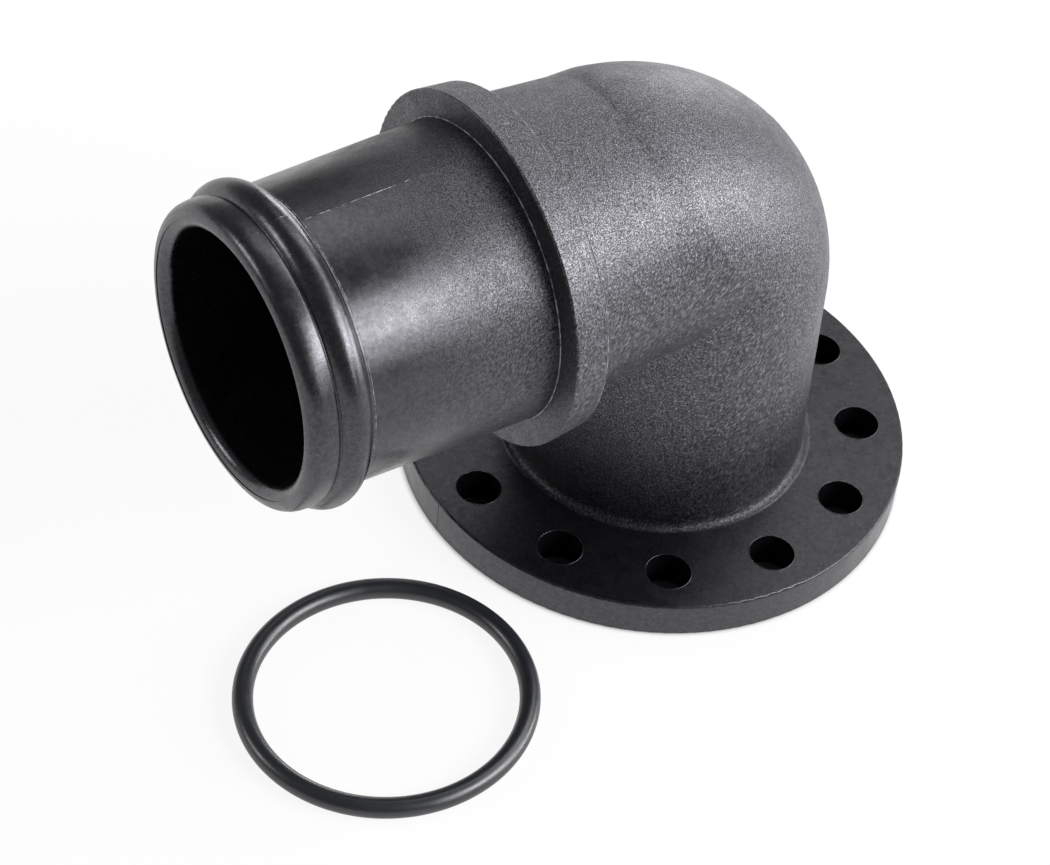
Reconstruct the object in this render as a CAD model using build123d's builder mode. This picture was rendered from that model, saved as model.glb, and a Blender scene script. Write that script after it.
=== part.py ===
# Hose elbow adapter: a one-piece moulded elbow that turns a bolted flange into a beaded
# hose spigot, with the rubber ring that seals the flange lying beside it.
# Millimetres. The origin is the centre of the flange's sealing face, +Z runs up the
# barrel and +X runs out along the spigot.

import os
from math import cos, radians, sin, tan

from build123d import *

os.makedirs("parts", exist_ok=True)

# Hose spigot: a tapered tube for a 2 inch hose, with a bead and a rounded end lip
spigot_end_radius = 25.2
spigot_wall = 3.6
spigot_draft = 1.1
spigot_length = 45.45
lip_height = 0.67
lip_length = 5.05
lip_edge_radius = 0.25
lip_groove_depth = 0.45
bead_height = 2.4
bead_half_width = 3.0
bead_root_radius = 0.7
mouth_parting_share = 0.45
mouth_parting_step = 0.15

# Stop collar that the hose is pushed up to
collar_rear_radius = 30.0
collar_rise = 0.65
collar_width = 6.4
collar_edge_radius = 0.3

# Elbow between the flange and the collar
elbow_wall = 4.05
bend_radius = 19.7
axis_height = 62.5
arm_length = 37.2
arm_rise = 0.7
arm_draft = 4.8
heel_relief = 0.02
barrel_draft = 1.65
barrel_root_radius = 1.65

# Flange and its bolt holes
flange_radius = 45.0
flange_thickness = 6.9
flange_edge_radius = 0.35
bolt_edge_distance = 8.2
bolt_hole_radius = 4.0
bolt_hole_count = 12

# Seal ring, and the recess for it at the mouth of the bore under the flange
seal_section = 3.55
seal_bore_step = 0.45
seal_ovality = 0.7
seal_clearance = 0.1
seal_squeeze = 0.22
seal_gap = 7.6
seal_bearing = 21.65
seal_turn = 7.9

# Radii and places that follow from the sizes above
bore_radius = spigot_end_radius - spigot_wall
elbow_radius = bore_radius + elbow_wall
lip_radius = spigot_end_radius + lip_height
bend_start_height = axis_height - bend_radius
barrel_base_radius = elbow_radius + (bend_start_height - flange_thickness) * tan(radians(barrel_draft))
arm_height = axis_height + arm_rise
barrel_top_radius = elbow_radius - (arm_height - bend_start_height) * tan(radians(barrel_draft))
arm_root_radius = elbow_radius - arm_rise - heel_relief
arm_end = arm_length + collar_width / 2
arm_end_radius = arm_root_radius + (arm_end - bend_radius) * tan(radians(arm_draft))
collar_front = arm_length + collar_width
collar_front_radius = collar_rear_radius + collar_rise
spigot_end = collar_front + spigot_length
lip_start = spigot_end - lip_length
bead_crest = lip_start - bead_half_width
bead_start = bead_crest - bead_half_width
spigot_root_radius = spigot_end_radius + (bead_start - collar_front) * tan(radians(spigot_draft))
mouth_parting_radius = bore_radius + mouth_parting_share * (lip_radius - bore_radius)
mouth_inner_round = mouth_parting_radius - bore_radius
mouth_outer_round = lip_radius - mouth_parting_radius
bolt_circle_radius = flange_radius - bolt_edge_distance
seal_mean_radius = bore_radius + seal_bore_step + seal_section / 2
seal_seat_radius = seal_mean_radius + seal_section / 2 + seal_clearance
seal_seat_depth = seal_section * (1 - seal_squeeze)
seal_distance = flange_radius + seal_gap + seal_mean_radius + seal_section / 2
seal_x = seal_distance * cos(radians(seal_bearing))
seal_y = seal_distance * sin(radians(seal_bearing))

# Working planes and axes of the spigot, of the arm a little above it, and of the bend
spigot_plane = Plane(origin=(0, 0, axis_height), x_dir=(1, 0, 0), z_dir=(0, -1, 0))
spigot_axis = Axis((0, 0, axis_height), (1, 0, 0))
arm_plane = Plane(origin=(0, 0, arm_height), x_dir=(1, 0, 0), z_dir=(0, -1, 0))
arm_axis = Axis((0, 0, arm_height), (1, 0, 0))
bend_axis = Axis((bend_radius, 0, bend_start_height), (0, 1, 0))


def quarter_bend(radius):
    """Quarter turn of a round pipe that is cut off at the axis it turns about."""
    with BuildPart() as bend:
        with BuildSketch(Plane.XY.offset(bend_start_height)):
            Circle(radius)
            with Locations((bend_radius + radius, 0)):
                Rectangle(2 * radius, 2 * radius, mode=Mode.SUBTRACT)
        revolve(axis=bend_axis, revolution_arc=90)
    return bend.part


def corner_envelope():
    """Room for the corner: a quarter turn with a round heel, then a straight run for the arm."""
    run_length = arm_end - bend_radius
    run_width = 2 * (arm_end_radius + elbow_wall)
    with BuildPart() as envelope:
        with BuildSketch(Plane.XY.offset(bend_start_height)):
            Circle(elbow_radius)
            with Locations((bend_radius / 2, 0)):
                Rectangle(bend_radius, 2 * elbow_radius)
            with Locations((bend_radius + elbow_radius, 0)):
                Rectangle(2 * elbow_radius, 2 * elbow_radius, mode=Mode.SUBTRACT)
        revolve(axis=bend_axis, revolution_arc=90)
        with Locations((bend_radius + run_length / 2, 0, arm_height)):
            Box(run_length, run_width, run_width)
    return envelope.part


def corner_body():
    """Corner and arm: barrel and arm meet in a crease inside, and the heel is turned round."""
    with BuildPart() as corner:
        with BuildSketch(Plane.XZ):
            Polygon(
                (0, bend_start_height),
                (elbow_radius, bend_start_height),
                (barrel_top_radius, arm_height),
                (0, arm_height),
                align=None,
            )
        revolve(axis=Axis.Z)
        with BuildSketch(arm_plane):
            Polygon(
                (0, 0),
                (0, arm_root_radius),
                (bend_radius, arm_root_radius),
                (arm_end, arm_end_radius),
                (arm_end, 0),
                align=None,
            )
        revolve(axis=arm_axis)
        with BuildSketch(Plane.XY.offset(arm_height)):
            with Locations((-elbow_radius / 2, 0)):
                Rectangle(elbow_radius, 2 * elbow_radius)
        extrude(amount=elbow_radius)
        add(corner_envelope(), mode=Mode.INTERSECT)
    return corner.part


def spigot_body():
    """Solid of revolution from the collar to the spigot's end: collar, tube, bead and lip."""
    bullnose_start = spigot_end - mouth_outer_round
    nose_diagonal = mouth_outer_round * sin(radians(45))
    with BuildPart() as spigot:
        with BuildSketch(spigot_plane):
            with BuildLine():
                back = Polyline(
                    (arm_length, 0),
                    (arm_length, collar_rear_radius),
                    (collar_front, collar_front_radius),
                    (collar_front, spigot_root_radius),
                    (bead_start, spigot_end_radius),
                )
                bead = ThreePointArc(
                    back @ 1,
                    (bead_crest, spigot_end_radius + bead_height),
                    (lip_start, lip_radius - lip_groove_depth),
                )
                lip = Polyline(bead @ 1, (lip_start, lip_radius), (bullnose_start, lip_radius))
                nose = ThreePointArc(
                    lip @ 1,
                    (bullnose_start + nose_diagonal, mouth_parting_radius + nose_diagonal),
                    (spigot_end, mouth_parting_radius),
                )
                Polyline(nose @ 1, (spigot_end, 0), (arm_length, 0))
            make_face()
        revolve(axis=spigot_axis)
    return spigot.part


def spigot_bore():
    """Core of the arm and spigot: a plain bore that opens with a round, set back by a fine step."""
    round_end = spigot_end - mouth_parting_step
    round_start = round_end - mouth_inner_round
    round_diagonal = mouth_inner_round * (1 - sin(radians(45)))
    with BuildPart() as core:
        with BuildSketch(spigot_plane):
            with BuildLine():
                wall = Polyline((bend_radius, 0), (bend_radius, bore_radius), (round_start, bore_radius))
                mouth = ThreePointArc(
                    wall @ 1,
                    (round_end - round_diagonal, bore_radius + round_diagonal),
                    (round_end, mouth_parting_radius),
                )
                Polyline(mouth @ 1, (spigot_end, mouth_parting_radius), (spigot_end, 0), (bend_radius, 0))
            make_face()
        revolve(axis=spigot_axis)
    return core.part


def circles_at(part, centre, radius):
    """Circular edges of a part with this centre and radius."""
    edges = part.edges().filter_by(GeomType.CIRCLE)
    return edges.filter_by(
        lambda edge: (edge.arc_center - Vector(*centre)).length < 0.01 and abs(edge.radius - radius) < 0.01
    )


# Elbow body: flange, barrel, corner, arm and spigot in one moulding
corner_and_arm = corner_body()
outer_spigot = spigot_body()
bend_core = quarter_bend(bore_radius)
spigot_core = spigot_bore()

with BuildPart() as elbow_body:
    with BuildSketch():
        Circle(flange_radius)
        with PolarLocations(bolt_circle_radius, bolt_hole_count):
            Circle(bolt_hole_radius, mode=Mode.SUBTRACT)
    extrude(amount=flange_thickness)
    fillet(circles_at(elbow_body, (0, 0, flange_thickness), flange_radius), flange_edge_radius)
    fillet(circles_at(elbow_body, (0, 0, 0), flange_radius), flange_edge_radius)

    # Tapered barrel from the flange up to the corner, with the round at its foot
    with BuildSketch(Plane.XZ):
        Polygon(
            (0, 0),
            (elbow_radius, 0),
            (barrel_base_radius, flange_thickness),
            (elbow_radius, bend_start_height),
            (0, bend_start_height),
            align=None,
        )
    revolve(axis=Axis.Z)
    fillet(circles_at(elbow_body, (0, 0, flange_thickness), barrel_base_radius), barrel_root_radius)

    # Corner and arm, then the spigot with the edge rounds of its collar, bead and lip
    add(corner_and_arm)
    add(outer_spigot)
    fillet(circles_at(elbow_body, (arm_length, 0, axis_height), collar_rear_radius), collar_edge_radius)
    fillet(circles_at(elbow_body, (collar_front, 0, axis_height), collar_front_radius), collar_edge_radius)
    fillet(circles_at(elbow_body, (bead_start, 0, axis_height), spigot_end_radius), bead_root_radius)
    fillet(circles_at(elbow_body, (lip_start, 0, axis_height), lip_radius), lip_edge_radius)

    # Flow passage: straight bore, bend and arm bore, and the open recess for the seal
    with BuildSketch():
        Circle(bore_radius)
    extrude(amount=bend_start_height, mode=Mode.SUBTRACT)
    add(bend_core, mode=Mode.SUBTRACT)
    add(spigot_core, mode=Mode.SUBTRACT)
    with BuildSketch():
        Circle(seal_seat_radius)
    extrude(amount=seal_seat_depth, mode=Mode.SUBTRACT)

elbow_body.part.label = "elbow_body"
export_step(elbow_body.part, "parts/elbow_body.step")

# Seal ring: lies loose on the surface that the flange stands on, slightly out of round
seal_plane = Plane(origin=(seal_x, seal_y, seal_section / 2)).rotated((0, 0, seal_turn))
with BuildPart() as seal_ring:
    with BuildLine(seal_plane):
        EllipticalCenterArc(
            (0, 0),
            seal_mean_radius + seal_ovality,
            seal_mean_radius - seal_ovality,
            start_angle=0,
            arc_size=360,
        )
    with BuildSketch(Plane(origin=seal_plane.from_local_coords((seal_mean_radius + seal_ovality, 0, 0)),
                           x_dir=seal_plane.x_dir, z_dir=seal_plane.y_dir)):
        Circle(seal_section / 2)
    sweep()
seal_ring.part.label = "seal_ring"
export_step(seal_ring.part, "parts/seal_ring.step")
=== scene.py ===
"""Look of the hose elbow adapter: moulded black nylon, its rubber seal ring and a pale studio.

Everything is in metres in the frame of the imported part: the origin is the centre of the flange's
sealing face, +Z runs up the barrel and +X runs out along the hose spigot. Sizes that are named
in the classes are in millimetres, apart from those of the studio.
"""

import logging
import math
from collections.abc import Sequence
from dataclasses import dataclass, field
from enum import Enum
from typing import NamedTuple

import bmesh
import bpy
from mathutils import Matrix, Vector


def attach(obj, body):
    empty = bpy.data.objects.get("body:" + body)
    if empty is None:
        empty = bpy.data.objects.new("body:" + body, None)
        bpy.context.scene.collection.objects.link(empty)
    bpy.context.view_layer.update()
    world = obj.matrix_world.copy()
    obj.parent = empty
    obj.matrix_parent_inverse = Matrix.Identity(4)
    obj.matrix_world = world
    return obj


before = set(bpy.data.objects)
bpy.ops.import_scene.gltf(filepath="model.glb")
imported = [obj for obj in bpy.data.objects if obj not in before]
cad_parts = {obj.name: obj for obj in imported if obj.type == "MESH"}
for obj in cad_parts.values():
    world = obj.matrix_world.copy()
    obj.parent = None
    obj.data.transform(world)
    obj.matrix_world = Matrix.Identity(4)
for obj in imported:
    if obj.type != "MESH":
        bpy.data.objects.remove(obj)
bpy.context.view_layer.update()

LOG = logging.getLogger("hose_elbow_adapter")
MM = 0.001
MERGE_DISTANCE = 1e-7

# A Mix node has sockets of the same name for each type of data, so those for colours are
# taken by their number
MIX_COLOUR_A, MIX_COLOUR_B, MIX_COLOUR_RESULT = 6, 7, 2

Pair = tuple[float, float]
Socket = bpy.types.NodeSocket


def linear(hex_colour: str) -> tuple[float, float, float, float]:
    """Turn an sRGB hex colour into the linear RGBA that shaders take.

    Args:
        hex_colour: A colour such as "#1d1d20".

    Returns:
        Linear red, green, blue and an alpha of one.
    """
    channels = [int(hex_colour[i:i + 2], 16) / 255 for i in (1, 3, 5)]
    values = [c / 12.92 if c <= 0.04045 else ((c + 0.055) / 1.055) ** 2.4 for c in channels]
    return (*values, 1.0)


def add_node(
    tree: bpy.types.NodeTree, kind: str, inputs: dict[str | int, object] | tuple = (),
    **settings: object,
) -> bpy.types.Node:
    """Add one node with its settings, its constant inputs and its links.

    Args:
        tree: The node tree that takes the node.
        kind: Blender's name of the node type.
        inputs: Input name or number to a constant, or to the output socket that feeds it. A
            tuple fills the node's first inputs in their order.
        **settings: Properties of the node itself.

    Returns:
        The new node.
    """
    node = tree.nodes.new(kind)
    for name, value in settings.items():
        setattr(node, name, value)
    for key, value in inputs.items() if isinstance(inputs, dict) else enumerate(inputs):
        if isinstance(value, Socket):
            tree.links.new(value, node.inputs[key])
        else:
            node.inputs[key].default_value = value
    return node


def new_material(name: str) -> bpy.types.Material:
    """Make an empty node material.

    Args:
        name: Name of the finish.

    Returns:
        The material, with no nodes in it.
    """
    material = bpy.data.materials.new(name)
    material.use_nodes = True
    material.node_tree.nodes.clear()
    return material


class Axis(Enum):
    """Axis of the part that a property changes along, by its name on a node's sockets."""

    X = "X"
    Z = "Z"


class Levels(NamedTuple):
    """Change of a value: from start to end of what drives it, it runs from low to high.

    The fields stand in the order of a Map Range node's inputs after the first.
    """

    start: float
    end: float
    low: float
    high: float


@dataclass(frozen=True)
class Zone:
    """Stretch of the moulding, from start to end along one axis, in which a value changes.

    Start and end are in millimetres, and low and high are the values there.
    """

    axis: Axis
    start: float
    end: float
    low: float
    high: float


@dataclass(frozen=True)
class Pattern:
    """Cloudy noise of a real size.

    Size is that of its cells in millimetres, detail its number of finer layers, and falloff
    how strong each of those is against the one before.
    """

    size: float
    detail: float
    falloff: float = 0.6


@dataclass(frozen=True)
class SparkErodedNylon:
    """Black glass-filled nylon 66, injection moulded in a spark-eroded tool.

    The eroded steel leaves a fine matt grain on elbow and collar, which glitters where a lamp
    is reflected, and the glass fibres show through it as short pale flecks. The tube was
    polished towards its end, so the grain fades out to a satin bead and lip, and the flange is
    smooth and darker too. The sheen, the pale skin and the flecks are turned down towards the
    foot, and the sheen in the bolt holes, as painted shade.
    """

    name: str = "spark_eroded_black_nylon"
    polished_colour: str = "#09090d"
    eroded_colour: str = "#242428"
    fleck_colour: str = "#a2a2a8"
    sheen_colour: str = "#f7f6ff"
    ior: float = 1.53

    # The craters of the tool are about 0.05 mm wide and the fibres 0.01 mm thick: both are too
    # fine to show, so they are drawn as coarse as they need to be to show
    grain: Pattern = Pattern(0.21, 1.0)
    pits: Pattern = Pattern(0.5, 2.0)
    fibres: Pattern = Pattern(0.16, 1.0)
    mottle: Pattern = Pattern(0.9, 3.0)
    clouds: Pattern = Pattern(3.2, 3.0)
    fibre_stretch: float = 5.0
    fibre_lean: float = -48.0
    pit_share: float = 0.4
    fibre_share: float = 0.55
    grain_height: float = 0.11

    # How much of the grain is left along the tube, on the bead and on the flange
    tube_grain: Zone = Zone(Axis.X, 43.0, 76.0, 1.0, 0.12)
    bead_grain: Zone = Zone(Axis.X, 77.9, 78.2, 0.0, 0.22)
    flange_grain: Zone = Zone(Axis.Z, 6.93, 7.01, 0.22, 1.0)

    # Pale skin and flecks: less on the tube than behind the collar, which also paints shade on the
    # collar's front face. The sheen, the pale skin and the flecks fall off towards the foot as
    # painted shade
    # Less pale skin from the collar's front face on: the tube's polished finish, and painted shade
    # on that face
    tube_skin_and_collar_shade: Zone = Zone(Axis.X, 43.2, 43.5, 1.0, 0.3)
    # Painted shade: the sheen, the pale skin and the flecks dim towards the foot
    painted_foot_shade: Zone = Zone(Axis.Z, 6.93, 45.0, 0.46, 1.0)
    foot_skin_shade: Levels = Levels(0.46, 1.0, 0.1, 1.0)
    foot_fleck_shade: Levels = Levels(0.46, 1.0, 0.2, 1.0)
    fleck_strength: Levels = Levels(0.595, 0.665, 0.0, 0.5)

    # Gloss of the satin and of the grained skin, and how each varies over the pattern
    roughness: Levels = Levels(0.0, 0.9, 0.26, 0.44)
    cloud_change: Levels = Levels(0.3, 0.7, 0.85, 1.15)
    satin_sheen: Levels = Levels(0.35, 0.65, 0.6888, 0.9912)
    glint: Levels = Levels(0.40, 0.62, 0.26, 1.66)

    # Sheen of the flange's top, lifted out of the foot's painted shade so that it comes to 0.72
    # over the foot's 0.46, painted shade on the walls of its holes, which are dulled, and painted
    # sheen on its outer rim, which is lifted
    flange_sheen: Zone = Zone(Axis.Z, 6.93, 7.01, 0.72 / 0.46, 1.0)
    wall_top: Pair = (6.43, 6.53)
    hole_shade_rim_sheen: Levels = Levels(43.0 * MM, 44.0 * MM, 0.25, 1.25)

    def lay_zones(self, tree: bpy.types.NodeTree, place: Socket) -> dict[Zone, Socket]:
        """Lay the stretches of the moulding along its axes.

        Args:
            tree: The node tree that takes them.
            place: The object coordinates.

        Returns:
            The value of each zone.
        """
        axes = add_node(tree, "ShaderNodeSeparateXYZ", (place,)).outputs
        zones = (
            self.tube_grain, self.bead_grain, self.flange_grain,
            self.tube_skin_and_collar_shade, self.painted_foot_shade, self.flange_sheen,
        )
        return {
            zone: add_node(
                tree, "ShaderNodeMapRange",
                (axes[zone.axis.value], zone.start * MM, zone.end * MM, zone.low, zone.high),
                interpolation_type="SMOOTHSTEP",
            ).outputs[0]
            for zone in zones
        }

    def draw_patterns(self, tree: bpy.types.NodeTree, place: Socket) -> dict[Pattern, Socket]:
        """Draw the patterns of the skin, with the fibres drawn out the way the melt ran.

        Args:
            tree: The node tree that takes them.
            place: The object coordinates.

        Returns:
            Each pattern, from zero to one.
        """
        leaning = add_node(
            tree, "ShaderNodeMapping",
            {"Vector": place, "Rotation": (0.0, math.radians(self.fibre_lean), 0.0)},
        ).outputs[0]
        drawn_out = add_node(
            tree, "ShaderNodeMapping",
            {"Vector": leaning, "Scale": (1 / self.fibre_stretch, 1.0, 1.0)},
        ).outputs[0]
        return {
            pattern: add_node(
                tree, "ShaderNodeTexNoise",
                {"Vector": drawn_out if pattern is self.fibres else place,
                 "Scale": 1 / (pattern.size * MM), "Detail": pattern.detail,
                 "Roughness": pattern.falloff},
            ).outputs["Fac"]
            for pattern in (self.grain, self.pits, self.fibres, self.mottle, self.clouds)
        }

    def share_grain(self, tree: bpy.types.NodeTree, zones: dict[Zone, Socket]) -> Socket:
        """Say how much of the grain each place has.

        Args:
            tree: The node tree that takes the nodes.
            zones: The value of each zone.

        Returns:
            The share of the full grain.
        """
        spigot = add_node(
            tree, "ShaderNodeMath", (zones[self.tube_grain], zones[self.bead_grain]),
            operation="MAXIMUM",
        ).outputs[0]
        return add_node(
            tree, "ShaderNodeMath", (spigot, zones[self.flange_grain]), operation="MULTIPLY",
        ).outputs[0]

    def shape_relief(self, tree: bpy.types.NodeTree, patterns: dict[Pattern, Socket]) -> Socket:
        """Lay grain, pits and fibres over each other.

        Args:
            tree: The node tree that takes the nodes.
            patterns: The patterns of the skin.

        Returns:
            The height of the skin, from zero to one.
        """
        relief = patterns[self.grain]
        for share, pattern in ((self.pit_share, self.pits), (self.fibre_share, self.fibres)):
            relief = add_node(
                tree, "ShaderNodeMix", {"Factor": share, "A": relief, "B": patterns[pattern]},
                data_type="FLOAT",
            ).outputs[0]
        return relief

    def mix_colour(
        self, tree: bpy.types.NodeTree, zones: dict[Zone, Socket], fibres: Socket,
    ) -> Socket:
        """Mix the polished and the eroded colour, with the flecks on the eroded skin, both thinned
        as painted shade towards the foot and on the collar's front face.

        Args:
            tree: The node tree that takes the nodes.
            zones: The value of each zone.
            fibres: The pattern of the fibres.

        Returns:
            The base colour.
        """
        eroded_skin = zones[self.tube_grain]
        # The tube's zone also paints shade on the collar's front face
        for zone in (self.flange_grain, self.tube_skin_and_collar_shade):
            eroded_skin = add_node(
                tree, "ShaderNodeMath", (eroded_skin, zones[zone]), operation="MULTIPLY",
            ).outputs[0]
        # Towards the foot the pale skin and the flecks thin out: painted shade low on the barrel
        foot = zones[self.painted_foot_shade]
        skin, flecks, strength = (
            add_node(
                tree, "ShaderNodeMapRange", (driver, *levels), interpolation_type="SMOOTHSTEP",
            ).outputs[0]
            for driver, levels in (
                (foot, self.foot_skin_shade), (foot, self.foot_fleck_shade), (fibres, self.fleck_strength),
            )
        )
        # Eroded skin and its flecks, with the painted shade towards the foot
        shaded_skin, shaded_fleck_skin = (
            add_node(tree, "ShaderNodeMath", (eroded_skin, share), operation="MULTIPLY").outputs[0]
            for share in (skin, flecks)
        )
        fleck = add_node(
            tree, "ShaderNodeMath", (strength, shaded_fleck_skin), operation="MULTIPLY",
        ).outputs[0]
        colour = linear(self.polished_colour)
        for share, over in ((shaded_skin, self.eroded_colour), (fleck, self.fleck_colour)):
            colour = add_node(
                tree, "ShaderNodeMix",
                {"Factor": share, MIX_COLOUR_A: colour, MIX_COLOUR_B: linear(over)},
                data_type="RGBA",
            ).outputs[MIX_COLOUR_RESULT]
        return colour

    def mix_roughness(
        self, tree: bpy.types.NodeTree, grain_share: Socket, clouds: Socket,
    ) -> Socket:
        """Make the grained skin rougher than the satin one, with soft clouds in both.

        Args:
            tree: The node tree that takes the nodes.
            grain_share: The share of the full grain.
            clouds: The pattern of the clouds.

        Returns:
            The roughness.
        """
        base, change = (
            add_node(
                tree, "ShaderNodeMapRange", (driver, *levels), interpolation_type="SMOOTHSTEP",
            ).outputs[0]
            for driver, levels in ((grain_share, self.roughness), (clouds, self.cloud_change))
        )
        return add_node(tree, "ShaderNodeMath", (base, change), operation="MULTIPLY").outputs[0]

    def paint_hole_shade_and_rim_sheen(self, tree: bpy.types.NodeTree, place: Socket) -> Socket:
        """Paint shade on the walls of the bolt holes by dulling their sheen, and paint sheen on
        the flange's outer rim by lifting it.

        Args:
            tree: The node tree that takes the nodes.
            place: The object coordinates.

        Returns:
            The factor on the sheen, which is one above the flange's edge.
        """
        flat = add_node(
            tree, "ShaderNodeVectorMath", (place, (1.0, 1.0, 0.0)), operation="MULTIPLY",
        ).outputs["Vector"]
        reach = add_node(
            tree, "ShaderNodeVectorMath", (flat,), operation="LENGTH",
        ).outputs["Value"]
        height = add_node(tree, "ShaderNodeSeparateXYZ", (place,)).outputs[Axis.Z.value]
        # Painted shade in the bolt holes, painted sheen on the outer rim
        below = add_node(
            tree, "ShaderNodeMapRange", (reach, *self.hole_shade_rim_sheen), interpolation_type="SMOOTHSTEP",
        ).outputs[0]
        start, end = self.wall_top
        return add_node(
            tree, "ShaderNodeMapRange", (height, start * MM, end * MM, below, 1.0),
            interpolation_type="SMOOTHSTEP",
        ).outputs[0]

    def mix_sheen(
        self, tree: bpy.types.NodeTree, grain_share: Socket, relief: Socket, mottle: Socket,
        painted_light_factors: tuple[Socket, ...],
    ) -> Socket:
        """Mix the mottled satin and the glittering grain, with painted shade and painted sheen
        laid on zone by zone.

        The level varies over the surface, so it is linked, and an export keeps only its default.

        Args:
            tree: The node tree that takes the nodes.
            grain_share: The share of the full grain.
            relief: The height of the skin.
            mottle: The pattern of the satin.
            painted_light_factors: What the sheen is multiplied by: painted shade towards the foot
                and in the bolt holes, the flange's lift out of that shade and painted sheen on its
                outer rim.

        Returns:
            The specular level.
        """
        satin, glint = (
            add_node(
                tree, "ShaderNodeMapRange", (driver, *levels), interpolation_type="SMOOTHSTEP",
            ).outputs[0]
            for driver, levels in ((mottle, self.satin_sheen), (relief, self.glint))
        )
        sheen = add_node(
            tree, "ShaderNodeMix", {"Factor": grain_share, "A": satin, "B": glint},
            data_type="FLOAT",
        ).outputs[0]
        for factor in painted_light_factors:
            sheen = add_node(
                tree, "ShaderNodeMath", (sheen, factor), operation="MULTIPLY",
            ).outputs[0]
        return sheen

    def build(self) -> bpy.types.Material:
        """Build the material.

        Returns:
            The finished node material.
        """
        material = new_material(self.name)
        tree = material.node_tree
        place = add_node(tree, "ShaderNodeTexCoord").outputs["Object"]
        zones = self.lay_zones(tree, place)
        patterns = self.draw_patterns(tree, place)
        grain_share = self.share_grain(tree, zones)
        relief = self.shape_relief(tree, patterns)
        bump = add_node(
            tree, "ShaderNodeBump",
            {"Strength": grain_share, "Distance": self.grain_height * MM, "Height": relief},
        ).outputs["Normal"]
        # Painted shade towards the foot and in the bolt holes, and painted sheen on the flange and
        # its rim
        painted_light_factors = (
            self.paint_hole_shade_and_rim_sheen(tree, place), zones[self.painted_foot_shade], zones[self.flange_sheen],
        )
        shader = add_node(
            tree, "ShaderNodeBsdfPrincipled",
            {"Base Color": self.mix_colour(tree, zones, patterns[self.fibres]),
             "Roughness": self.mix_roughness(tree, grain_share, patterns[self.clouds]),
             "IOR": self.ior,
             "Specular IOR Level": self.mix_sheen(
                 tree, grain_share, relief, patterns[self.mottle], painted_light_factors),
             "Specular Tint": linear(self.sheen_colour), "Normal": bump},
        )
        add_node(tree, "ShaderNodeOutputMaterial", {"Surface": shader.outputs["BSDF"]})
        return material


@dataclass(frozen=True)
class FlashNylon:
    """The same nylon where it crept into the tool's joint: smooth, and painted greyer with paler
    spots as the highlight that its thin ridges catch.
    """

    name: str = "flash_black_nylon"
    # The pale grey and its paler spots are painted highlight on the thin ridges
    colour: str = "#5a5a5d"
    highlight_colour: str = "#b4b4b8"
    ior: float = 1.53
    roughness: float = 0.34
    highlight_spots: Pattern = Pattern(1.1, 3.0)
    highlight_spots_share: Levels = Levels(0.42, 0.62, 0.0, 1.0)

    def build(self) -> bpy.types.Material:
        """Build the material.

        Returns:
            The finished node material.
        """
        material = new_material(self.name)
        tree = material.node_tree
        place = add_node(tree, "ShaderNodeTexCoord").outputs["Object"]
        pattern = add_node(
            tree, "ShaderNodeTexNoise",
            {"Vector": place, "Scale": 1 / (self.highlight_spots.size * MM), "Detail": self.highlight_spots.detail,
             "Roughness": self.highlight_spots.falloff},
        ).outputs["Fac"]
        # Share of the paler spots of painted highlight
        worn = add_node(
            tree, "ShaderNodeMapRange", (pattern, *self.highlight_spots_share),
            interpolation_type="SMOOTHSTEP",
        ).outputs[0]
        colour = add_node(
            tree, "ShaderNodeMix",
            {"Factor": worn, MIX_COLOUR_A: linear(self.colour),
             MIX_COLOUR_B: linear(self.highlight_colour)},
            data_type="RGBA",
        ).outputs[MIX_COLOUR_RESULT]
        shader = add_node(
            tree, "ShaderNodeBsdfPrincipled",
            {"Base Color": colour, "Roughness": self.roughness, "IOR": self.ior},
        )
        add_node(tree, "ShaderNodeOutputMaterial", {"Surface": shader.outputs["BSDF"]})
        return material


@dataclass(frozen=True)
class NitrileRubber:
    """Black nitrile rubber, compression moulded smooth, with a soft bloom in its gloss."""

    name: str = "nitrile_rubber"
    colour: str = "#1b1d22"
    ior: float = 1.52
    sheen: float = 0.75
    bloom: Pattern = Pattern(3.0, 4.0, 0.5)
    roughness: Levels = Levels(0.3, 0.7, 0.30, 0.39)

    def build(self) -> bpy.types.Material:
        """Build the material.

        Returns:
            The finished node material.
        """
        material = new_material(self.name)
        tree = material.node_tree
        place = add_node(tree, "ShaderNodeTexCoord").outputs["Object"]
        pattern = add_node(
            tree, "ShaderNodeTexNoise",
            {"Vector": place, "Scale": 1 / (self.bloom.size * MM), "Detail": self.bloom.detail,
             "Roughness": self.bloom.falloff},
        ).outputs["Fac"]
        roughness = add_node(
            tree, "ShaderNodeMapRange", (pattern, *self.roughness),
        ).outputs[0]
        shader = add_node(
            tree, "ShaderNodeBsdfPrincipled",
            {"Base Color": linear(self.colour), "Roughness": roughness, "IOR": self.ior,
             "Specular IOR Level": self.sheen},
        )
        add_node(tree, "ShaderNodeOutputMaterial", {"Surface": shader.outputs["BSDF"]})
        return material


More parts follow.
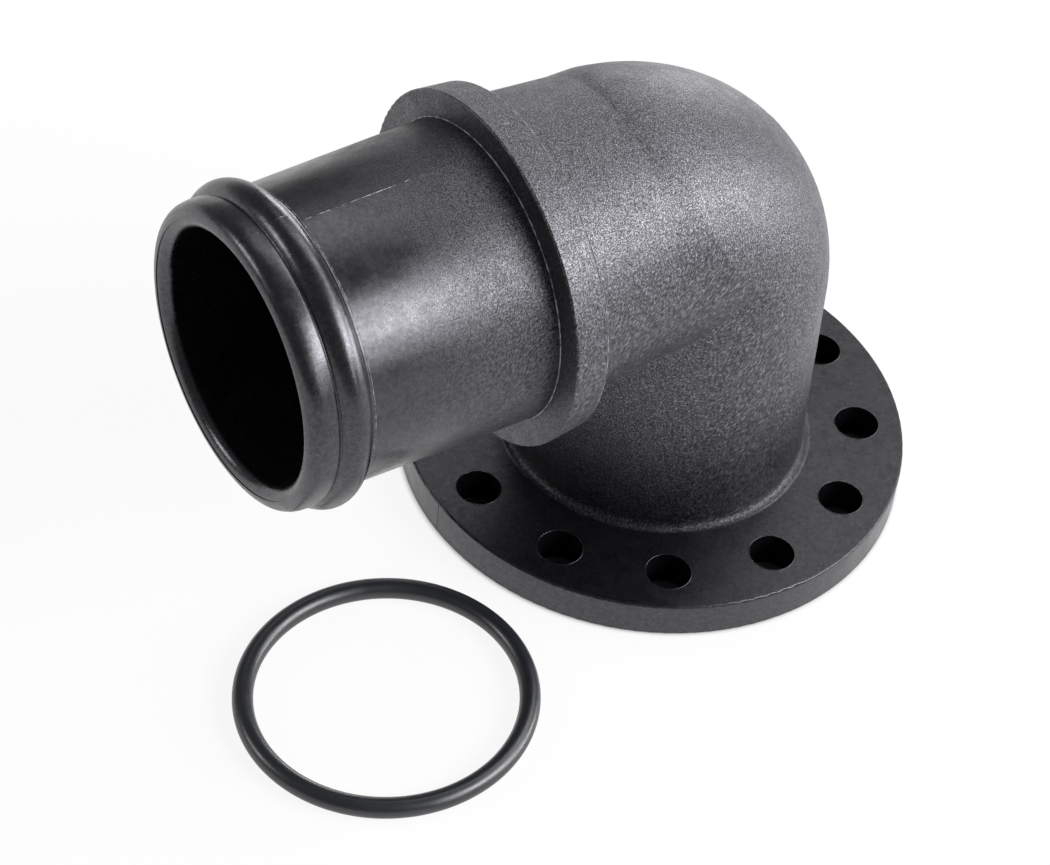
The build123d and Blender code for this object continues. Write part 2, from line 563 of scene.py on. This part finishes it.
@dataclass(frozen=True)
class StudioPaper:
    """Matt white paper sweep: white to the camera and in reflections, with the shadow kept.

    The paper that the flange covers is painted dark as the flange's shadow, so that the bolt holes
    look as deep as they are.
    """

    name: str = "studio_paper"
    colour: str = "#f2f2f2"
    # Painted shadow of the flange on the paper under it
    flange_shadow_colour: str = "#4a4a4c"
    white: str = "#ffffff"
    roughness: float = 0.9
    shown_white: float = 0.9
    flange_shadow_edge: Pair = (44.0, 46.0)

    def build(self) -> bpy.types.Material:
        """Build the material.

        Returns:
            The finished node material.
        """
        material = new_material(self.name)
        tree = material.node_tree
        path = add_node(tree, "ShaderNodeLightPath").outputs
        seen = add_node(
            tree, "ShaderNodeMath", (path["Is Camera Ray"], path["Is Glossy Ray"]),
            operation="MAXIMUM",
        ).outputs[0]
        place = add_node(tree, "ShaderNodeTexCoord").outputs["Object"]
        reach = add_node(
            tree, "ShaderNodeVectorMath", (place,), operation="LENGTH",
        ).outputs["Value"]
        start, end = self.flange_shadow_edge
        shown = add_node(
            tree, "ShaderNodeMapRange", (reach, start * MM, end * MM, 0.0, self.shown_white),
            interpolation_type="SMOOTHSTEP",
        ).outputs[0]
        share = add_node(tree, "ShaderNodeMath", (seen, shown), operation="MULTIPLY").outputs[0]
        # From the painted shadow under the flange out to the plain paper
        outside_flange_shadow = add_node(
            tree, "ShaderNodeMapRange", (shown, 0.0, self.shown_white, 0.0, 1.0),
            interpolation_type="SMOOTHSTEP",
        ).outputs[0]
        sheet = add_node(
            tree, "ShaderNodeMix",
            {"Factor": outside_flange_shadow, MIX_COLOUR_A: linear(self.flange_shadow_colour),
             MIX_COLOUR_B: linear(self.colour)},
            data_type="RGBA",
        ).outputs[MIX_COLOUR_RESULT]
        paper = add_node(
            tree, "ShaderNodeBsdfPrincipled", {"Base Color": sheet, "Roughness": self.roughness},
        ).outputs[0]
        white = add_node(
            tree, "ShaderNodeEmission", {"Color": linear(self.white), "Strength": 1.0},
        ).outputs[0]
        mixed = add_node(tree, "ShaderNodeMixShader", (share, paper, white)).outputs[0]
        add_node(tree, "ShaderNodeOutputMaterial", {"Surface": mixed})
        return material


@dataclass
class Softbox:
    """One rectangular studio lamp, placed by its direction from the part.

    Azimuth turns from +X towards +Y, angles are in degrees and sizes in metres.
    """

    name: str
    azimuth: float
    elevation: float
    width: float
    height: float
    radiance: float
    distance: float = 1.4
    colour: str = "#ffffff"

    def build(self, target: Vector) -> None:
        """Make the lamp and turn it to the part.

        Args:
            target: The point that the lamp faces.
        """
        lamp = bpy.data.lights.new(self.name, "AREA")
        lamp.shape = "RECTANGLE"
        lamp.size, lamp.size_y = self.width, self.height
        lamp.energy = self.radiance * math.pi * self.width * self.height
        lamp.color = linear(self.colour)[:3]
        turn, lift = math.radians(self.azimuth), math.radians(self.elevation)
        level = math.cos(lift)
        way = Vector((level * math.cos(turn), level * math.sin(turn), math.sin(lift)))
        lamp_object = bpy.data.objects.new(self.name, lamp)
        lamp_object.location = target + way * self.distance
        lamp_object.rotation_mode = "QUATERNION"
        lamp_object.rotation_quaternion = way.to_track_quat("Z", "Y")
        bpy.context.scene.collection.objects.link(lamp_object)


@dataclass
class Studio:
    """Floor, white surroundings, lamps and the camera at the photograph's viewpoint.

    Sizes and places are in metres, and those of the lens in millimetres.
    """

    floor_side: float = 6.0
    white: str = "#ffffff"
    world_light: float = 0.17
    target: tuple[float, float, float] = (0.026, -0.003, 0.013)
    lamps: list[Softbox] = field(default_factory=lambda: [
        Softbox("key_core", 122.0, 32.0, 0.34, 0.34, 16.4),
        Softbox("key_back", 138.0, 32.0, 0.39, 0.65, 10.7),
        Softbox("key_top", 122.0, 46.0, 0.34, 0.34, 5.9),
        Softbox("key_front", 107.0, 25.0, 0.34, 0.65, 4.7),
        Softbox("fill_back", 158.0, 30.0, 0.49, 1.02, 3.0),
        Softbox("low_key", 138.0, 10.0, 0.49, 0.39, 2.6),
        Softbox("low_back", 160.0, 8.0, 0.70, 0.29, 9.8),
        Softbox("rear_strip", 220.0, 8.0, 0.70, 0.34, 7.0),
        Softbox("top_softbox", 192.0, 45.0, 0.70, 0.49, 3.3),
        Softbox("high_softbox", 215.0, 62.0, 1.03, 0.39, 1.6),
        Softbox("left_softbox", 226.0, 47.0, 0.90, 0.49, 0.6),
        Softbox("front_softbox", 328.0, 27.0, 0.42, 0.36, 7.4),
    ])
    camera_place: tuple[float, float, float] = (0.304878, 0.349074, 0.476617)
    camera_right: tuple[float, float, float] = (-0.8367, 0.5396, 0.0936)
    camera_back: tuple[float, float, float] = (0.4320, 0.5452, 0.7184)
    sensor_width: float = 36.0
    focal_length: float = 126.91
    clipping: Pair = (0.01, 20.0)

    def build_floor(self) -> None:
        """Lay the paper floor that the part stands on."""
        mesh = bpy.data.meshes.new("studio_floor")
        shape = bmesh.new()
        bmesh.ops.create_grid(shape, x_segments=1, y_segments=1, size=self.floor_side / 2)
        shape.to_mesh(mesh)
        shape.free()
        floor = bpy.data.objects.new("studio_floor", mesh)
        bpy.context.scene.collection.objects.link(floor)
        mesh.materials.append(StudioPaper().build())

    def build_world(self) -> None:
        """Light the surroundings evenly and low, and show them white to the camera."""
        world = bpy.data.worlds.new("white_surroundings")
        bpy.context.scene.world = world
        world.use_nodes = True
        tree = world.node_tree
        tree.nodes.clear()
        seen = add_node(tree, "ShaderNodeLightPath").outputs["Is Camera Ray"]
        strength = add_node(
            tree, "ShaderNodeMapRange", {"Value": seen, "To Min": self.world_light, "To Max": 1.0},
        ).outputs[0]
        light = add_node(
            tree, "ShaderNodeBackground", {"Color": linear(self.white), "Strength": strength},
        ).outputs[0]
        add_node(tree, "ShaderNodeOutputWorld", {"Surface": light})

    def build_camera(self) -> None:
        """Set the camera as the photograph was taken."""
        lens = bpy.data.cameras.new("photo_camera")
        lens.sensor_width = self.sensor_width
        lens.lens = self.focal_length
        lens.clip_start, lens.clip_end = self.clipping
        right = Vector(self.camera_right).normalized()
        back = Vector(self.camera_back).normalized()
        turn = Matrix((right, back.cross(right), back)).transposed().to_4x4()
        camera = bpy.data.objects.new("photo_camera", lens)
        camera.matrix_world = Matrix.Translation(self.camera_place) @ turn
        bpy.context.scene.collection.objects.link(camera)
        bpy.context.scene.camera = camera

    def build(self) -> None:
        """Set up the whole studio."""
        bpy.context.scene.view_settings.view_transform = "Standard"
        self.build_floor()
        self.build_world()
        self.build_camera()
        for lamp in self.lamps:
            lamp.build(Vector(self.target))
        LOG.info("studio: floor, world, camera and %d lamps", len(self.lamps))


@dataclass(frozen=True)
class BodyOutline:
    """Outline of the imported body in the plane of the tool's joint, for marks that lie on it.

    Points on the spigot are pairs of X and the radius about its axis, all others pairs of X
    and Z.
    """

    axis_height: float = 62.5
    tube_start: Pair = (43.6, 25.86)
    tube_end: Pair = (78.0, 25.2)
    bead_centre: Pair = (81.03, 24.487)
    bead_radius: float = 3.113
    lip_crown: tuple[Pair, ...] = (
        (83.87, 25.82), (83.95, 25.78), (84.05, 25.81), (84.2, 25.885), (84.45, 25.945),
        (84.9, 25.99), (85.4, 26.005), (85.9, 25.995), (86.4, 25.96), (86.8, 25.915),
    )
    nose_centre: Pair = (86.70, 23.52)
    nose_radius: float = 2.35
    collar_start: Pair = (37.2, 30.0)
    collar_end: Pair = (43.6, 30.65)
    heel_centre: Pair = (19.7, 42.8)
    heel_radius: float = 45.35
    barrel_foot: Pair = (-26.68, 6.9)
    root_centre: Pair = (28.33, 8.55)
    root_radius: float = 1.65
    flange_top: float = 6.9
    hole_circle: float = 36.8
    hole_radius: float = 4.0
    hole_count: int = 12
    arc_step: float = 3.0

    def slope(self, start: Pair, end: Pair, span: Pair) -> list[Pair]:
        """Points on top of a cone about the spigot's axis.

        Args:
            start: X and radius at the cone's start.
            end: X and radius at the cone's end.
            span: X of the first and of the last point.

        Returns:
            The first and the last point as pairs of X and Z.
        """
        rise = (end[1] - start[1]) / (end[0] - start[0])
        return [(x, self.axis_height + start[1] + (x - start[0]) * rise) for x in span]

    def arc(self, centre: Pair, radius: float, turn: Pair, lift: float = 0.0) -> list[Pair]:
        """Points on an arc.

        Args:
            centre: Its centre.
            radius: Its radius.
            turn: Angles of its ends from +X towards +Z, in degrees.
            lift: Height that is added to each point.

        Returns:
            Points about one arc step apart.
        """
        first, last = turn
        count = max(3, round(abs(last - first) / self.arc_step))
        angles = [math.radians(first + (last - first) * i / count) for i in range(count + 1)]
        return [
            (centre[0] + radius * math.cos(angle), lift + centre[1] + radius * math.sin(angle))
            for angle in angles
        ]


@dataclass
class MouldMarks:
    """Fine marks of the tool: the skin of the lip, the parting line, flash, worn rims and a ring
    of painted highlight on the collar's back.

    Spans are pairs of X, and turns are pairs of degrees from +X towards +Z.
    """

    outline: BodyOutline = field(default_factory=BodyOutline)
    ridge_radius: float = 0.075
    faint_radius: float = 0.05
    ridge_sides: int = 6
    ring_steps: int = 192
    rim_steps: int = 64

    # Skin of bead, groove and lip, a hair above the solid where it starts and ends
    bead_skin_turn: Pair = (40.0, 27.0)
    bead_skin_lift: float = 0.015
    nose_turn: Pair = (74.0, 35.0)
    nose_lift: float = 0.02

    # Ridge of the parting line, worn to dashes on the tube
    tube_dashes: tuple[Pair, ...] = (
        (55.3, 56.1), (57.8, 59.1), (60.3, 71.7), (72.2, 74.9), (75.5, 77.3),
    )
    bead_ridge_turn: Pair = (160.0, 85.0)
    collar_dash: Pair = (39.9, 41.2)
    heel_turn: Pair = (104.0, 180.0)
    barrel_clearance: float = 2.0
    root_turn: Pair = (195.0, 245.0)

    # Rings as X, radius and thickness: of flash at collar and tube and at tube and bead, and at
    # the collar's back a ring that only paints the highlight of its edge
    flash_lines: tuple[tuple[float, float, float], ...] = (
        (43.70, 25.96, 0.12), (77.35, 25.22, 0.04), (37.28, 29.94, 0.06),
    )

    # Worn rims of the bolt holes, and the closed joint line of flange, bead and lip
    rim_thickness: float = 0.09
    rim_sink: float = 0.03
    flange_line: tuple[Pair, ...] = ((40.85, 6.9), (44.8, 6.88))
    edge_line: tuple[Pair, ...] = ((45.0, 6.6), (45.0, 0.5))
    bead_line_turn: Pair = (80.0, 60.0)
    crown_line_start: int = 4

    def ridge(self, shape: bmesh.types.BMesh, path: Sequence[Pair], radius: float) -> None:
        """Add a closed round ridge along a path in the plane Y = 0.

        Args:
            shape: The mesh that takes it.
            path: Its points as pairs of X and Z.
            radius: Its radius.
        """
        points = [Vector((x, 0.0, z)) * MM for x, z in path]
        rings = []
        for index, point in enumerate(points):
            ahead = points[min(index + 1, len(points) - 1)] - points[max(index - 1, 0)]
            turn = ahead.to_track_quat("Z", "Y").to_matrix().to_4x4()
            ring = bmesh.ops.create_circle(
                shape, cap_ends=False, radius=radius * MM, segments=self.ridge_sides,
                matrix=Matrix.Translation(point) @ turn,
            )["verts"]
            rings.append(list({edge for vert in ring for edge in vert.link_edges}))
        for first, second in zip(rings, rings[1:]):
            bmesh.ops.bridge_loops(shape, edges=first + second)
        bmesh.ops.holes_fill(shape, edges=rings[0] + rings[-1], sides=self.ridge_sides)

    def fine_ring(
        self, shape: bmesh.types.BMesh, centre: Vector, axis: Vector, radius: float,
        thickness: float, steps: int,
    ) -> None:
        """Add a fine round ring.

        Args:
            shape: The mesh that takes it.
            centre: Its centre.
            axis: The axis that it goes round.
            radius: Its mean radius.
            thickness: Radius of its section.
            steps: Number of faces round it.
        """
        outward = axis.orthogonal().normalized()
        section_turn = axis.cross(outward).to_track_quat("Z", "Y").to_matrix().to_4x4()
        section = bmesh.ops.create_circle(
            shape, cap_ends=False, radius=thickness * MM, segments=self.ridge_sides,
            matrix=Matrix.Translation((centre + outward * radius) * MM) @ section_turn,
        )["verts"]
        edges = list({edge for vert in section for edge in vert.link_edges})
        bmesh.ops.spin(
            shape, geom=section + edges, cent=centre * MM, axis=axis, angle=math.tau,
            steps=steps, use_merge=True, use_duplicate=False,
        )

    def build_lip_skin(self, material: bpy.types.Material) -> None:
        """Make the rounded skin of bead, groove and lip, which softens the edges of the lip.

        Args:
            material: The finish of the body.
        """
        line = self.outline
        bead_radius = line.bead_radius + self.bead_skin_lift
        profile = (
            *line.arc(line.bead_centre, bead_radius, self.bead_skin_turn),
            *line.lip_crown,
            *line.arc(line.nose_centre, line.nose_radius + self.nose_lift, self.nose_turn),
        )
        shape = bmesh.new()
        centre = Vector((0.0, 0.0, line.axis_height)) * MM
        points = [shape.verts.new(centre + Vector((x, 0.0, radius)) * MM) for x, radius in profile]
        edges = [shape.edges.new(pair) for pair in zip(points, points[1:])]
        bmesh.ops.spin(
            shape, geom=points + edges, cent=centre, axis=(1.0, 0.0, 0.0), angle=math.tau,
            steps=self.ring_steps, use_merge=True, use_duplicate=False,
        )
        finish_piece("lip_skin", shape, material)

    def build_parting_ridges(self, material: bpy.types.Material) -> None:
        """Make the broken ridge of the parting line on tube, bead, collar, heel and foot.

        Args:
            material: The finish of the ridge, whose pale colour paints its highlight.
        """
        line, strong, faint = self.outline, self.ridge_radius, self.faint_radius
        lift = line.axis_height
        back = line.heel_centre[0] - line.heel_radius
        foot_x, foot_z = line.barrel_foot
        heel_line = [(back, line.heel_centre[1]), (foot_x, foot_z + self.barrel_clearance)]
        shape = bmesh.new()
        for dash in self.tube_dashes:
            self.ridge(shape, line.slope(line.tube_start, line.tube_end, dash), strong)
        for path, radius in (
            (line.arc(line.bead_centre, line.bead_radius, self.bead_ridge_turn, lift), faint),
            (line.slope(line.collar_start, line.collar_end, self.collar_dash), strong),
            (line.arc(line.heel_centre, line.heel_radius, self.heel_turn), faint),
            (heel_line, faint),
            (line.arc(line.root_centre, line.root_radius, self.root_turn), strong),
        ):
            self.ridge(shape, path, radius)
        finish_piece("parting_ridges", shape, material)

    def build_flash_rings(self, material: bpy.types.Material) -> None:
        """Make the rings of flash on collar, tube and bead, and the ring that paints the highlight
        on the collar's back edge.

        Args:
            material: The finish of the rings, whose pale colour paints their highlight.
        """
        shape = bmesh.new()
        along = Vector((1.0, 0.0, 0.0))
        for x, radius, thickness in self.flash_lines:
            centre = Vector((x, 0.0, self.outline.axis_height))
            self.fine_ring(shape, centre, along, radius, thickness, self.ring_steps)
        finish_piece("flash_rings", shape, material)

    def build_faint_marks(self, material: bpy.types.Material) -> None:
        """Make the worn rims of the bolt holes and the closed joint line of flange, bead and lip.

        Args:
            material: The finish of the body.
        """
        line, faint = self.outline, self.faint_radius
        lift = line.axis_height
        shape = bmesh.new()
        up = Vector((0.0, 0.0, 1.0))
        for index in range(line.hole_count):
            turn = math.tau * index / line.hole_count
            centre = Vector((math.cos(turn), math.sin(turn), 0.0)) * line.hole_circle
            centre.z = line.flange_top - self.rim_sink
            self.fine_ring(
                shape, centre, up, line.hole_radius, self.rim_thickness, self.rim_steps,
            )
        crown = [(x, lift + radius) for x, radius in line.lip_crown[self.crown_line_start:]]
        nose = line.arc(line.nose_centre, line.nose_radius + self.nose_lift, self.nose_turn, lift)
        for path in (
            self.flange_line,
            self.edge_line,
            line.arc(line.bead_centre, line.bead_radius, self.bead_line_turn, lift),
            crown + nose,
        ):
            self.ridge(shape, path, faint)
        finish_piece("faint_marks", shape, material)


def finish_piece(name: str, shape: bmesh.types.BMesh, material: bpy.types.Material) -> None:
    """Turn a mesh that is drawn in place into a piece of the part, which rides on the body.

    Args:
        name: Name of the piece.
        shape: Its mesh, which is freed.
        material: Its finish.
    """
    bmesh.ops.remove_doubles(shape, verts=shape.verts, dist=MERGE_DISTANCE)
    bmesh.ops.recalc_face_normals(shape, faces=shape.faces)
    mesh = bpy.data.meshes.new(name)
    shape.to_mesh(mesh)
    shape.free()
    for face in mesh.polygons:
        face.use_smooth = True
    mesh.materials.append(material)
    piece = bpy.data.objects.new(name, mesh)
    bpy.context.scene.collection.objects.link(piece)
    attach(piece, "root")
    LOG.info("%s: %d faces", name, len(mesh.polygons))


def dress(node: str, material: bpy.types.Material) -> None:
    """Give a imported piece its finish.

    Args:
        node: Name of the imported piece.
        material: The finish that fills its slots.
    """
    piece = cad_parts[node]
    piece.data.materials.clear()
    piece.data.materials.append(material)
    LOG.info("%s: dressed in %s", node, material.name)


def main() -> None:
    """Build the studio and the pieces."""
    logging.basicConfig(level=logging.INFO, format="%(message)s")
    Studio().build()
    nylon = SparkErodedNylon().build()
    dress("elbow_body", nylon)
    dress("seal_ring", NitrileRubber().build())
    # Pale finish that paints the highlights of the fine ridges and rings
    flash = FlashNylon().build()
    marks = MouldMarks()
    marks.build_lip_skin(nylon)
    marks.build_parting_ridges(flash)
    marks.build_flash_rings(flash)
    marks.build_faint_marks(nylon)


if __name__ == "__main__":
    main()
